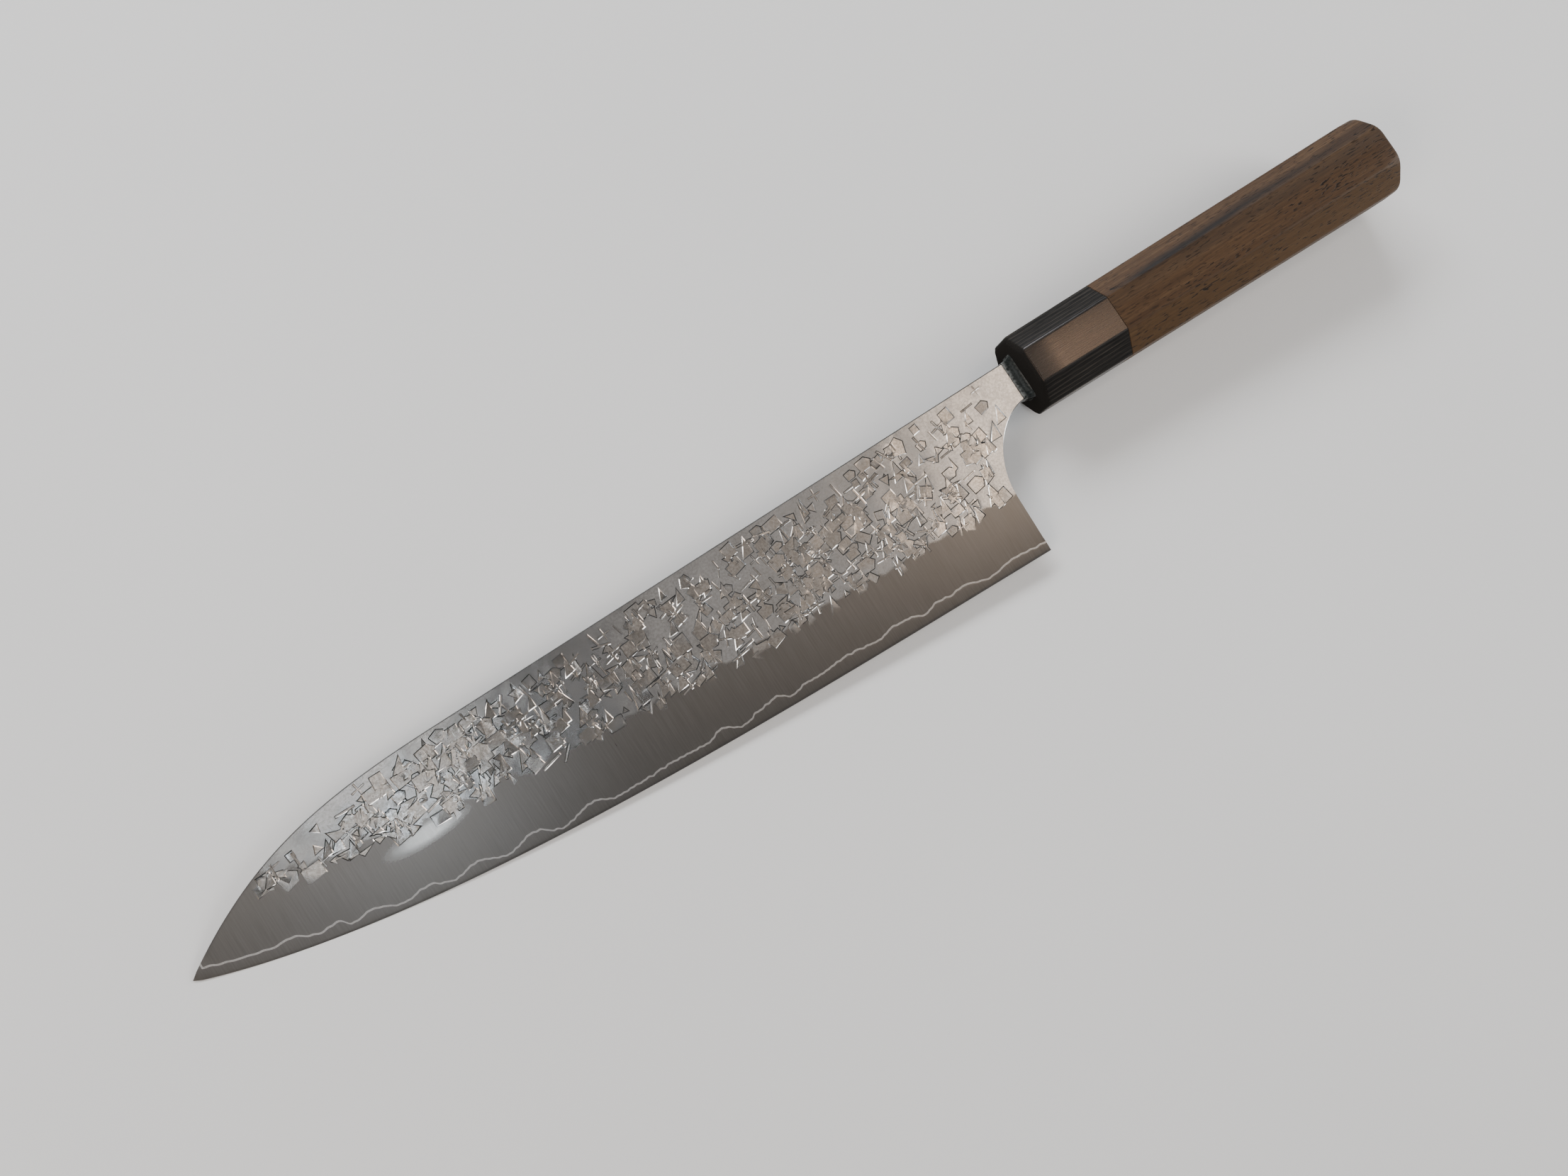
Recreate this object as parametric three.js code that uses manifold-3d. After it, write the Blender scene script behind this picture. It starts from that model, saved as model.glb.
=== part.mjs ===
// A Japanese-style chef's knife: a three-layer blade with a wide ground bevel and a full-depth
// tang, glued into an octagonal two-part handle.
//
// The knife is drawn in its own frame, in millimetres: X runs along the handle's axis towards the
// butt, with X = 0 at the ferrule's front face; Y points from the cutting edge to the spine; Z
// points out of the blade's left face. At the end the whole knife is turned so that it lies on its
// right side, as it does when it is put down, and its lowest point is at Z = 0.

import * as THREE from 'three';
import { mergeVertices } from 'three/addons/utils/BufferGeometryUtils.js';
import Module from 'manifold-3d';

const wasm = await Module();
wasm.setup();

// ---------------------------------------------------------------- driving dimensions (mm)

// Blade outline.
const HEEL = new THREE.Vector2(-20.8, -44.5);
const TIP = new THREE.Vector2(-258.8, -16.8);
const SPINE_AT_FERRULE = 6.06;
const SPINE_SLOPE = 0.011;
const NECK_BOTTOM = -5.85;
const CHOIL_START = -2.5;
const CHOIL_DEPTH = -28;
const SPINE_DROP_START = -182;

// Blade section.
const NECK_HALF = 1.75;
const HEEL_SPINE_HALF = 1.5;
const TIP_SPINE_HALF = 0.5;
const BEVEL_WIDTH = 18.3;
const BEVEL_TOP_RATIO = 0.84;
const BEVEL_POWER = 0.8;
const EDGE_HALF = 0.03;

// Layers of the blade.
const LAMINATION_HEIGHT = 2.7;
const LAMINATION_WAVE = 0.85;
const LAMINATION_PITCH = 14.6;
const FOIL_THICKNESS = 0.04;
const LAYER_GAP = 0.01;
const FEATHER = 0.01;
const FOIL_FACE_END = 0.99;

// Tang.
const TANG_END = 95;
const TANG_SHOULDER = 4;
const TANG_FRONT_HALF_HEIGHT = 4.25;
const TANG_END_HALF_HEIGHT = 2.6;
const TANG_END_HALF = 1.2;

// Handle: an octagon that grows from the ferrule to the butt.
const HANDLE_LENGTH = 137.3;
const FERRULE_LENGTH = 30.6;
const FRONT_OCTAGON = { height: 22.75, thickness: 18.95, sideFace: 10.32, backFace: 8.62 };
const BUTT_OCTAGON = { height: 25.52, thickness: 21.59, sideFace: 11.9, backFace: 9.66 };
const FERRULE_CHAMFER = 1.1;
const BUTT_CHAMFER = 1.0;
const BUTT_DOME = 0.8;
const GLUE_GAP = 0.05;

// Inside the handle.
const MOUTH_HEIGHT = 12.5;
const MOUTH_WIDTH = 4.1;
const MOUTH_DEPTH = 3.6;
const BORE_RADIUS = 6;
const BORE_END = 109;
const DOWEL_RADIUS = 5.7;
const DOWEL_END = 108;
const KERF_WIDTH = 5.6;
const KERF_HEIGHT = 10.2;
const KERF_END = 99;
const FIT_GAP = 0.3;
const SEAL_LENGTH = 3.2;
const SEAL_FLARE = 0.9;
const SEAL_LIP = 0.3;
const SEAL_STEPS = 5;
const SEAL_SIDES = 24;
const BORE_SIDES = 32;
const BUTT_DOME_RINGS = [{ inset: 4, rise: 0.7 }, { inset: 8, rise: 1 }];

// Lines across the blade that its surface is drawn through. They fan out round the choil, from the
// neck to FAN_END, and stand upright from there to the tip.
const FAN_TOP_AT_CHOIL = -22;
const FAN_TOP_AT_HEEL = -32;
const FAN_END = -48;
const CHOIL_STATIONS = 7;
const HEEL_STATIONS = 4;
const FAN_STATIONS = 4;
const STATION_SPACING = 3.65;
const CORE_END = TIP.x + 0.4;
const LAYERS_END = TIP.x + 6;
const BEVEL_ROWS = 4;

// The least and greatest share of a line at which the core's border and the bevel's top may lie.
const CORE_BORDER_RANGE = [0.2, 0.97];
const BEVEL_TOP_RANGE = [0.1, 0.8];

// How finely heights are searched for, and how far cutting tools and merged points reach.
const HALVINGS = 40;
const CUT_MARGIN = 1;
const MERGE_DISTANCE = 1e-5;

// The resting attitude, on the ferrule's lower front corner and the edge near the tip.
const REST_ROLL = THREE.MathUtils.degToRad(7);
const REST_PITCH = THREE.MathUtils.degToRad(-1.7);

// ---------------------------------------------------------------- outline of the blade

const spineDrop = new THREE.CubicBezierCurve(
  new THREE.Vector2(SPINE_DROP_START, SPINE_AT_FERRULE + SPINE_SLOPE * SPINE_DROP_START),
  new THREE.Vector2(-212.7, 3.7),
  new THREE.Vector2(-233.7, 1.3),
  TIP,
);

const edgeCurve = new THREE.CubicBezierCurve(
  HEEL,
  new THREE.Vector2(-108.6, -40.9),
  new THREE.Vector2(-208.3, -37.8),
  TIP,
);

const choilCurve = new THREE.CubicBezierCurve(
  new THREE.Vector2(CHOIL_START, NECK_BOTTOM),
  new THREE.Vector2(-11.3, NECK_BOTTOM),
  new THREE.Vector2(HEEL.x, -15.7),
  new THREE.Vector2(HEEL.x, CHOIL_DEPTH),
);

// The height of a curve whose X falls steadily from its start to its end.
function heightOnCurve(curve, x) {
  let before = 0;
  let after = 1;
  for (let step = 0; step < HALVINGS; step += 1) {
    const middle = (before + after) / 2;
    if (curve.getPoint(middle).x > x) {
      before = middle;
    } else {
      after = middle;
    }
  }
  return curve.getPoint(before).y;
}

function spineHeight(x) {
  if (x > SPINE_DROP_START) {
    return SPINE_AT_FERRULE + SPINE_SLOPE * x;
  }
  return heightOnCurve(spineDrop, x);
}

function edgeHeight(x) {
  return heightOnCurve(edgeCurve, Math.min(x, HEEL.x));
}

// ---------------------------------------------------------------- thickness of the blade

function spineHalf(x) {
  if (x > HEEL.x) {
    const towardsNeck = Math.min((x - HEEL.x) / -HEEL.x, 1);
    return THREE.MathUtils.lerp(HEEL_SPINE_HALF, NECK_HALF, towardsNeck);
  }
  const towardsTip = (HEEL.x - x) / (HEEL.x - TIP.x);
  return THREE.MathUtils.lerp(HEEL_SPINE_HALF, TIP_SPINE_HALF, towardsTip);
}

// Half the blade's thickness: a convex bevel up to BEVEL_WIDTH above the edge, then a flat that
// thickens to the spine.
function bladeHalf(x, y) {
  const aboveEdge = Math.max(y - edgeHeight(x), 0);
  const atSpine = spineHalf(x);
  const atBevelTop = atSpine * BEVEL_TOP_RATIO;
  if (aboveEdge < BEVEL_WIDTH) {
    return EDGE_HALF + (atBevelTop - EDGE_HALF) * (aboveEdge / BEVEL_WIDTH) ** BEVEL_POWER;
  }
  const flat = spineHeight(x) - edgeHeight(x) - BEVEL_WIDTH;
  return THREE.MathUtils.lerp(atBevelTop, atSpine, (aboveEdge - BEVEL_WIDTH) / flat);
}

// ---------------------------------------------------------------- stations along the blade

// A station is a line across the blade from its upper to its lower outline. On the tang it also
// carries its own half thickness.
function tangStations() {
  const stations = [];
  for (const x of [TANG_END, TANG_END / 2, TANG_SHOULDER]) {
    const along = (x - TANG_SHOULDER) / (TANG_END - TANG_SHOULDER);
    const half = THREE.MathUtils.lerp(TANG_FRONT_HALF_HEIGHT, TANG_END_HALF_HEIGHT, along);
    const thick = THREE.MathUtils.lerp(NECK_HALF, TANG_END_HALF, along);
    stations.push({ top: new THREE.Vector2(x, half), bottom: new THREE.Vector2(x, -half), thick });
  }
  for (const x of [MOUTH_DEPTH - 1, 0, CHOIL_START]) {
    const top = new THREE.Vector2(x, spineHeight(x));
    stations.push({ top, bottom: new THREE.Vector2(x, NECK_BOTTOM), thick: NECK_HALF });
  }
  return stations;
}

function choilStations() {
  const stations = [];
  for (let i = 1; i <= CHOIL_STATIONS; i += 1) {
    const bottom = choilCurve.getPoint(i / CHOIL_STATIONS);
    const topX = THREE.MathUtils.lerp(CHOIL_START, FAN_TOP_AT_CHOIL, i / CHOIL_STATIONS);
    stations.push({ top: new THREE.Vector2(topX, spineHeight(topX)), bottom });
  }
  return stations;
}

function heelStations() {
  const stations = [];
  for (let i = 1; i <= HEEL_STATIONS; i += 1) {
    const along = i / HEEL_STATIONS;
    const bottom = new THREE.Vector2(HEEL.x, THREE.MathUtils.lerp(CHOIL_DEPTH, HEEL.y, along));
    const topX = THREE.MathUtils.lerp(FAN_TOP_AT_CHOIL, FAN_TOP_AT_HEEL, along);
    stations.push({ top: new THREE.Vector2(topX, spineHeight(topX)), bottom });
  }
  return stations;
}

function edgeStations(endX) {
  const stations = [];
  for (let i = 1; i <= FAN_STATIONS; i += 1) {
    const topX = THREE.MathUtils.lerp(FAN_TOP_AT_HEEL, FAN_END, i / FAN_STATIONS);
    const bottomX = THREE.MathUtils.lerp(HEEL.x, FAN_END, i / FAN_STATIONS);
    const top = new THREE.Vector2(topX, spineHeight(topX));
    stations.push({ top, bottom: new THREE.Vector2(bottomX, edgeHeight(bottomX)) });
  }
  const count = Math.round((FAN_END - endX) / STATION_SPACING);
  for (let i = 1; i <= count; i += 1) {
    const x = THREE.MathUtils.lerp(FAN_END, endX, i / count);
    const top = new THREE.Vector2(x, spineHeight(x));
    stations.push({ top, bottom: new THREE.Vector2(x, edgeHeight(x)) });
  }
  return stations;
}

function stationsTo(endX) {
  return [...tangStations(), ...choilStations(), ...heelStations(), ...edgeStations(endX)];
}

// ---------------------------------------------------------------- the layers

// Half the core's thickness, which makes its border with the cladding run in waves a little above
// the edge. It is the same all along the fan, so that the layers stay parallel there.
function coreHalf(station) {
  const x = Math.min(station.bottom.x, FAN_END);
  const wave = Math.sin((2 * Math.PI * (x - FAN_END)) / LAMINATION_PITCH);
  return bladeHalf(x, edgeHeight(x) + LAMINATION_HEIGHT + LAMINATION_WAVE * wave);
}

function pointOn(station, fraction) {
  return new THREE.Vector2().lerpVectors(station.top, station.bottom, fraction);
}

function halfAt(station, fraction) {
  if (station.thick !== undefined) {
    return station.thick;
  }
  const point = pointOn(station, fraction);
  return bladeHalf(point.x, point.y);
}

// How far down a station the blade is still at least twice the given half thickness.
function depthOfThickness(station, half) {
  let above = 0;
  let below = 1;
  if (halfAt(station, below) >= half) {
    return below;
  }
  for (let step = 0; step < HALVINGS; step += 1) {
    const middle = (above + below) / 2;
    if (halfAt(station, middle) > half) {
      above = middle;
    } else {
      below = middle;
    }
  }
  return above;
}

function ringPoint(station, fraction, z) {
  const point = pointOn(station, fraction);
  return new THREE.Vector3(point.x, point.y, z);
}

// The core is flat-sided down to its border with the cladding and follows the bevel below it.
function coreRing(station) {
  const core = coreHalf(station);
  const border = THREE.MathUtils.clamp(depthOfThickness(station, core), ...CORE_BORDER_RANGE);
  const fractions = [0, border, (border + 1) / 2, 1];
  const left = fractions.map((f) => ringPoint(station, f, Math.min(core, halfAt(station, f))));
  const right = left.map((point) => new THREE.Vector3(point.x, point.y, -point.z));
  return [...left, ...right.reverse()];
}

// A foil ends in a slanting strip, where the bevel cuts through it.
function foilRing(station, side) {
  const inner = coreHalf(station) + LAYER_GAP;
  const outer = inner + FOIL_THICKNESS;
  const full = depthOfThickness(station, outer);
  const last = depthOfThickness(station, inner + FEATHER);
  return [
    ringPoint(station, 0, side * outer),
    ringPoint(station, Math.min(full, FOIL_FACE_END * last), side * outer),
    ringPoint(station, last, side * Math.min(outer, halfAt(station, last))),
    ringPoint(station, last, side * inner),
    ringPoint(station, 0, side * inner),
  ];
}

// A cladding has the blade's hammered flat and the upper part of its bevel as its outside.
function claddingRing(station, side) {
  const inner = coreHalf(station) + 2 * LAYER_GAP + FOIL_THICKNESS;
  const last = depthOfThickness(station, inner + FEATHER);
  const flatHeight = station.top.y - edgeHeight(station.top.x) - BEVEL_WIDTH;
  const height = station.top.y - pointOn(station, last).y;
  const bevelTop = THREE.MathUtils.clamp(flatHeight / height, ...BEVEL_TOP_RANGE) * last;
  const fractions = [0, bevelTop / 2, bevelTop];
  for (let row = 1; row <= BEVEL_ROWS; row += 1) {
    fractions.push(THREE.MathUtils.lerp(bevelTop, last, row / BEVEL_ROWS));
  }
  const outside = fractions.map((f) => ringPoint(station, f, side * halfAt(station, f)));
  return [...outside, ringPoint(station, last, side * inner), ringPoint(station, 0, side * inner)];
}

// ---------------------------------------------------------------- solids

// A closed body through rings of equal length, with each end closed by joining its ring's points
// in pairs across the ring.
function loft(rings) {
  const size = rings[0].length;
  const positions = rings.flat().flatMap((point) => [point.x, point.y, point.z]);
  const faces = [];
  for (let i = 0; i + 1 < rings.length; i += 1) {
    for (let j = 0; j < size; j += 1) {
      const a = i * size + j;
      const b = i * size + ((j + 1) % size);
      faces.push(a, b, b + size, a, b + size, a + size);
    }
  }
  const end = (rings.length - 1) * size;
  for (let j = 0; j < Math.floor((size - 1) / 2); j += 1) {
    const across = size - 1 - j;
    faces.push(j, across, j + 1);
    faces.push(end + j, end + j + 1, end + across);
    if (across - 1 > j + 1) {
      faces.push(across, across - 1, j + 1);
      faces.push(end + across, end + j + 1, end + across - 1);
    }
  }
  const geometry = new THREE.BufferGeometry();
  geometry.setAttribute('position', new THREE.Float32BufferAttribute(positions, 3));
  geometry.setIndex(faces);
  return facingOut(geometry);
}

function facingOut(geometry) {
  const at = geometry.getAttribute('position');
  const index = geometry.index.array;
  const corner = [new THREE.Vector3(), new THREE.Vector3(), new THREE.Vector3()];
  let volume = 0;
  for (let i = 0; i < index.length; i += 3) {
    corner.forEach((point, k) => point.fromBufferAttribute(at, index[i + k]));
    volume += corner[0].dot(corner[1].clone().cross(corner[2]));
  }
  if (volume < 0) {
    for (let i = 0; i < index.length; i += 3) {
      [index[i], index[i + 1]] = [index[i + 1], index[i]];
    }
  }
  return geometry;
}

function toSolid(geometry) {
  const bare = geometry.clone();
  bare.deleteAttribute('normal');
  bare.deleteAttribute('uv');
  const merged = mergeVertices(bare, MERGE_DISTANCE);
  return new wasm.Manifold(new wasm.Mesh({
    numProp: 3,
    vertProperties: new Float32Array(merged.getAttribute('position').array),
    triVerts: new Uint32Array(merged.index.array),
  }));
}

function toGeometry(solid) {
  const mesh = solid.getMesh();
  const geometry = new THREE.BufferGeometry();
  geometry.setAttribute('position', new THREE.Float32BufferAttribute(mesh.vertProperties, 3));
  geometry.setIndex([...mesh.triVerts]);
  return geometry;
}

function cut(body, ...tools) {
  const solid = tools.reduce((rest, tool) => rest.subtract(toSolid(tool)), toSolid(body));
  return toGeometry(solid);
}

function block(fromX, toX, height, width) {
  const geometry = new THREE.BoxGeometry(toX - fromX, height, width);
  return geometry.translate((fromX + toX) / 2, 0, 0);
}

function rod(fromX, toX, radius) {
  const geometry = new THREE.CylinderGeometry(radius, radius, toX - fromX, BORE_SIDES);
  geometry.rotateZ(Math.PI / 2);
  return geometry.translate((fromX + toX) / 2, 0, 0);
}

// ---------------------------------------------------------------- the handle's octagon

function octagonRing(x, inset) {
  const along = x / HANDLE_LENGTH;
  const grow = (key) => THREE.MathUtils.lerp(FRONT_OCTAGON[key], BUTT_OCTAGON[key], along) / 2;
  const scaleY = 1 - inset / grow('height');
  const scaleZ = 1 - inset / grow('thickness');
  const corners = [
    [grow('sideFace'), grow('thickness')],
    [grow('height'), grow('backFace')],
    [grow('height'), -grow('backFace')],
    [grow('sideFace'), -grow('thickness')],
    [-grow('sideFace'), -grow('thickness')],
    [-grow('height'), -grow('backFace')],
    [-grow('height'), grow('backFace')],
    [-grow('sideFace'), grow('thickness')],
  ];
  return corners.map(([y, z]) => new THREE.Vector3(x, y * scaleY, z * scaleZ));
}

// ---------------------------------------------------------------- sub-parts

function coreGeometry() {
  return loft(stationsTo(CORE_END).map(coreRing));
}

function foilGeometry(side) {
  return loft(stationsTo(LAYERS_END).map((station) => foilRing(station, side)));
}

function claddingGeometry(side) {
  return loft(stationsTo(LAYERS_END).map((station) => claddingRing(station, side)));
}

function ferruleGeometry() {
  const body = loft([
    octagonRing(0, FERRULE_CHAMFER),
    octagonRing(FERRULE_CHAMFER, 0),
    octagonRing(FERRULE_LENGTH, 0),
  ]);
  const mouth = block(-CUT_MARGIN, MOUTH_DEPTH + CUT_MARGIN, MOUTH_HEIGHT, MOUTH_WIDTH);
  const bore = rod(MOUTH_DEPTH, FERRULE_LENGTH + CUT_MARGIN, BORE_RADIUS);
  return cut(body, mouth, bore);
}

function handleBodyGeometry() {
  const rim = HANDLE_LENGTH - BUTT_DOME;
  const body = loft([
    octagonRing(FERRULE_LENGTH + GLUE_GAP, 0),
    octagonRing(rim - BUTT_CHAMFER, 0),
    octagonRing(rim, BUTT_CHAMFER),
    ...BUTT_DOME_RINGS.map(({ inset, rise }) => octagonRing(rim + BUTT_DOME * rise, inset)),
  ]);
  return cut(body, rod(FERRULE_LENGTH - CUT_MARGIN, BORE_END, BORE_RADIUS));
}

function dowelGeometry() {
  const start = MOUTH_DEPTH + FIT_GAP;
  const kerf = block(start - CUT_MARGIN, KERF_END, KERF_HEIGHT, KERF_WIDTH);
  return cut(rod(start, DOWEL_END, DOWEL_RADIUS), kerf);
}

// The space that the tang takes, grown by a gap all round.
function tangRoom(gap) {
  const rings = tangStations().map(({ top, bottom, thick }) => {
    const z = thick + gap;
    return [
      new THREE.Vector3(top.x, top.y + gap, z),
      new THREE.Vector3(top.x, bottom.y - gap, z),
      new THREE.Vector3(top.x, bottom.y - gap, -z),
      new THREE.Vector3(top.x, top.y + gap, -z),
    ];
  });
  rings[0].forEach((point) => point.setX(TANG_END + gap));
  rings.at(-1).forEach((point) => point.setX(-SEAL_LENGTH - CUT_MARGIN));
  return loft(rings);
}

function adhesiveGeometry() {
  const start = MOUTH_DEPTH + 2 * FIT_GAP;
  const height = KERF_HEIGHT - 2 * FIT_GAP;
  const filling = block(start, KERF_END - FIT_GAP, height, KERF_WIDTH - 2 * FIT_GAP);
  return cut(filling, tangRoom(FIT_GAP));
}

// A bead of resin round the neck, widest against the ferrule.
function mouthSealGeometry() {
  const rings = [];
  const middle = (SPINE_AT_FERRULE + NECK_BOTTOM) / 2;
  for (let i = 0; i <= SEAL_STEPS; i += 1) {
    const along = i / SEAL_STEPS;
    const flare = SEAL_LIP + SEAL_FLARE * (1 - Math.cos((along * Math.PI) / 2));
    const x = THREE.MathUtils.lerp(-SEAL_LENGTH, -GLUE_GAP, along);
    const halfHeight = (SPINE_AT_FERRULE - NECK_BOTTOM) / 2 + flare;
    const halfWidth = NECK_HALF + flare;
    const ring = [];
    for (let j = 0; j < SEAL_SIDES; j += 1) {
      const angle = (2 * Math.PI * (j + 0.5)) / SEAL_SIDES;
      const square = (value) => Math.sign(value) * Math.sqrt(Math.abs(value));
      const y = middle + halfHeight * square(Math.sin(angle));
      ring.push(new THREE.Vector3(x, y, halfWidth * square(Math.cos(angle))));
    }
    rings.push(ring);
  }
  return cut(loft(rings), tangRoom(GLUE_GAP));
}

// ---------------------------------------------------------------- materials

function finish(color, roughness, metalness) {
  return new THREE.MeshStandardMaterial({ color, roughness, metalness });
}

const coreSteel = () => finish(0x9a9c98, 0.32, 1);
const claddingSteel = () => finish(0x8f8d88, 0.4, 1);
const nickel = () => finish(0xe6e2d6, 0.2, 1);
const blackLaminate = () => finish(0x1c1a19, 0.35, 0);
const walnut = () => finish(0x6b4a33, 0.6, 0);
const beech = () => finish(0xc9a777, 0.7, 0);
const curedResin = () => finish(0xd9cfae, 0.3, 0);
const clearResin = () => finish(0xb9b7ad, 0.15, 0);

// ---------------------------------------------------------------- assembly

const knife = new THREE.Group();

function addPart(name, geometry, material) {
  const mesh = new THREE.Mesh(geometry, material);
  mesh.name = name;
  knife.add(mesh);
}

addPart('blade_core', coreGeometry(), coreSteel());
addPart('left_nickel_foil', foilGeometry(1), nickel());
addPart('right_nickel_foil', foilGeometry(-1), nickel());
addPart('left_cladding', claddingGeometry(1), claddingSteel());
addPart('right_cladding', claddingGeometry(-1), claddingSteel());
addPart('ferrule', ferruleGeometry(), blackLaminate());
addPart('handle_body', handleBodyGeometry(), walnut());
addPart('joining_dowel', dowelGeometry(), beech());
addPart('tang_adhesive', adhesiveGeometry(), curedResin());
addPart('mouth_seal', mouthSealGeometry(), clearResin());

// Lay the knife down, then put the middle of its footprint at the origin, on Z = 0.
knife.rotation.set(REST_ROLL, REST_PITCH, 0, 'YXZ');
const object = new THREE.Group();
object.add(knife);
object.updateMatrixWorld(true);
const box = new THREE.Box3().setFromObject(object, true);
const centre = box.getCenter(new THREE.Vector3());
knife.position.set(-centre.x, -centre.y, -box.min.z);

export default object;
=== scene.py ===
import math

import bmesh
import bpy
import numpy as np
from mathutils import Matrix, Vector
from mathutils.geometry import delaunay_2d_cdt


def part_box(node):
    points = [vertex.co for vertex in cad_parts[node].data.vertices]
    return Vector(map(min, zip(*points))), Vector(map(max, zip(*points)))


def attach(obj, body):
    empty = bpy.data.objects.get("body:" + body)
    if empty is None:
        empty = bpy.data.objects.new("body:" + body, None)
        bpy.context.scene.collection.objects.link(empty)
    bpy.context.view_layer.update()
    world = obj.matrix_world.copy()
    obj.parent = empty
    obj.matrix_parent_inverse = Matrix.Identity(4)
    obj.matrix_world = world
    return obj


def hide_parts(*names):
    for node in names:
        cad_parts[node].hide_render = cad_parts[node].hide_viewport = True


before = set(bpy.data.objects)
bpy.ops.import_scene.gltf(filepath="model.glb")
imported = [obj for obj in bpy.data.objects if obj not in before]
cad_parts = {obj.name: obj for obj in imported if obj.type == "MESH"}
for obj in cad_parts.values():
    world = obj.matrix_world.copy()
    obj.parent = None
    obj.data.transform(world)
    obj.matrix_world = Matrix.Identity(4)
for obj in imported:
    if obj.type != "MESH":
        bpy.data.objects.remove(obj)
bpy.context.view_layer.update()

# Lengths are in millimetres, in the knife's own frame: X towards the butt from the ferrule's front
# face, Y from the edge to the spine, Z out of the left face. Each finished piece is turned into the
# resting attitude, and its material turns the coordinates back, so that grain follows the knife.

# ---------------------------------------------------------------- dimensions

HEEL = (-20.8, -44.5)
TIP = (-258.8, -16.8)
SPINE_AT_FERRULE = 6.06
SPINE_SLOPE = 0.011
SPINE_DROP_START = -182
NECK_BOTTOM = -5.85
CHOIL_START = -2.5
CHOIL_DEPTH = -28

NECK_HALF = 1.75
HEEL_SPINE_HALF = 1.5
TIP_SPINE_HALF = 0.5
BEVEL_WIDTH = 18.3
BEVEL_TOP_RATIO = 0.84
BEVEL_POWER = 0.8
EDGE_HALF = 0.03
MICRO_BEVEL = 0.35
HONED_HALF = 0.004
HONED_RISE = 0.08
FOIL_THICKNESS = 0.03
LAYER_GAP = 0.006
EDGE_ROUNDING = 0.35
LEAST_THICKNESS = 0.002

TANG_END = 95
TANG_SHOULDER = 4
TANG_FRONT_HALF_HEIGHT = 4.25
TANG_END_HALF_HEIGHT = 2.6
TANG_END_HALF = 1.2

HANDLE_LENGTH = 137.3
FERRULE_LENGTH = 30.6
FRONT_OCTAGON = (22.75, 18.95, 10.32, 8.62)
BUTT_OCTAGON = (25.52, 21.59, 11.9, 9.66)
FERRULE_CHAMFER = 1.1
SOFTENED = 0.16
MOUTH_SQUARENESS = 0.3
EASED_EDGE = 0.12
EASED_INSET = 0.1
BUTT_ROUNDING = 1.1
BUTT_RIDGE_ROUNDING = 2.4
BUTT_DOME = 1.5
RIDGE_ROUNDING = 0.5
GLUE_GAP = 0.05
MOUTH_HEIGHT = 12.5
MOUTH_WIDTH = 4.1
MOUTH_DEPTH = 3.6
BORE_RADIUS = 6
BORE_END = 109
SEAL_LENGTH = 3.2

REST_ROLL = math.radians(7)
REST_PITCH = math.radians(-1.7)

# How finely the blade is drawn.
STEP_ALONG = 0.4
HAMMERED_SPACING = 1.1
RIM_SPACING = 0.55
GROUND_SPACING = 2.1
END_ROWS = 10
LINES_ON_CHOIL = 36
LINES_ON_HEEL = 30
FAN_TOP_AT_CHOIL = -22
FAN_TOP_AT_HEEL = -32
FAN_END = -48
LAYERS_END = -256.6
LEAST_LAYER = 0.7
BORDER_ROWS = (0, 0.06, 0.15, 0.35)
FULL_BORDER = 5
GROUND_BLEND = 0.02
CORE_ROWS = 9
CORE_SHOWN_FROM = (0.02, 0.985)
CORE_TIP = (TIP[0] + 0.4, TIP[1] + 0.1, 0)
TIP_STEPS = (0.4, 0.75, 0.97)
SAME_POINT = 1e-5

# Bands of the face, by height above the top of the bevel, and how close their points are.
BANDS = [(-9.0, -1.2, GROUND_SPACING), (-1.2, 3.2, RIM_SPACING), (3.2, 60, HAMMERED_SPACING)]

# The angle, in degrees, from which two faces meet in a sharp line.
DENT_SHARPNESS = 9
HANDLE_SHARPNESS = 28
CORE_SHARPNESS = 30
PLAIN_SHARPNESS = 40


# ---------------------------------------------------------------- outline of the blade

def bezier(points, count):
    t = np.linspace(0, 1, count)[:, None]
    a, b, c, d = (np.array(point, float) for point in points)
    return (1 - t) ** 3 * a + 3 * (1 - t) ** 2 * t * b + 3 * (1 - t) * t**2 * c + t**3 * d


spine_drop_start = (SPINE_DROP_START, SPINE_AT_FERRULE + SPINE_SLOPE * SPINE_DROP_START)
spine_drop = bezier([spine_drop_start, (-212.7, 3.7), (-233.7, 1.3), TIP], 600)[::-1]
edge_line = bezier([HEEL, (-108.6, -40.9), (-208.3, -37.8), TIP], 900)[::-1]
choil_line = bezier(
    [(CHOIL_START, NECK_BOTTOM), (-11.3, NECK_BOTTOM), (HEEL[0], -15.7), (HEEL[0], CHOIL_DEPTH)],
    LINES_ON_CHOIL + 1,
)


def spine_height(x):
    straight = SPINE_AT_FERRULE + SPINE_SLOPE * x
    return np.where(x > SPINE_DROP_START, straight, np.interp(x, *spine_drop.T))


def edge_height(x):
    return np.interp(np.minimum(x, HEEL[0]), *edge_line.T)


# ---------------------------------------------------------------- smooth chance

def waves(x, seed, pitch):
    """A smooth random line through about -1 to 1, whose bumps are about a pitch apart."""
    count = 6
    chance = np.random.default_rng(seed)
    total = np.zeros_like(x)
    for _ in range(count):
        length = pitch * chance.uniform(0.7, 1.9)
        total += np.sin(2 * np.pi * (x / length + chance.uniform()))
    return total / math.sqrt(count)


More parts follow.
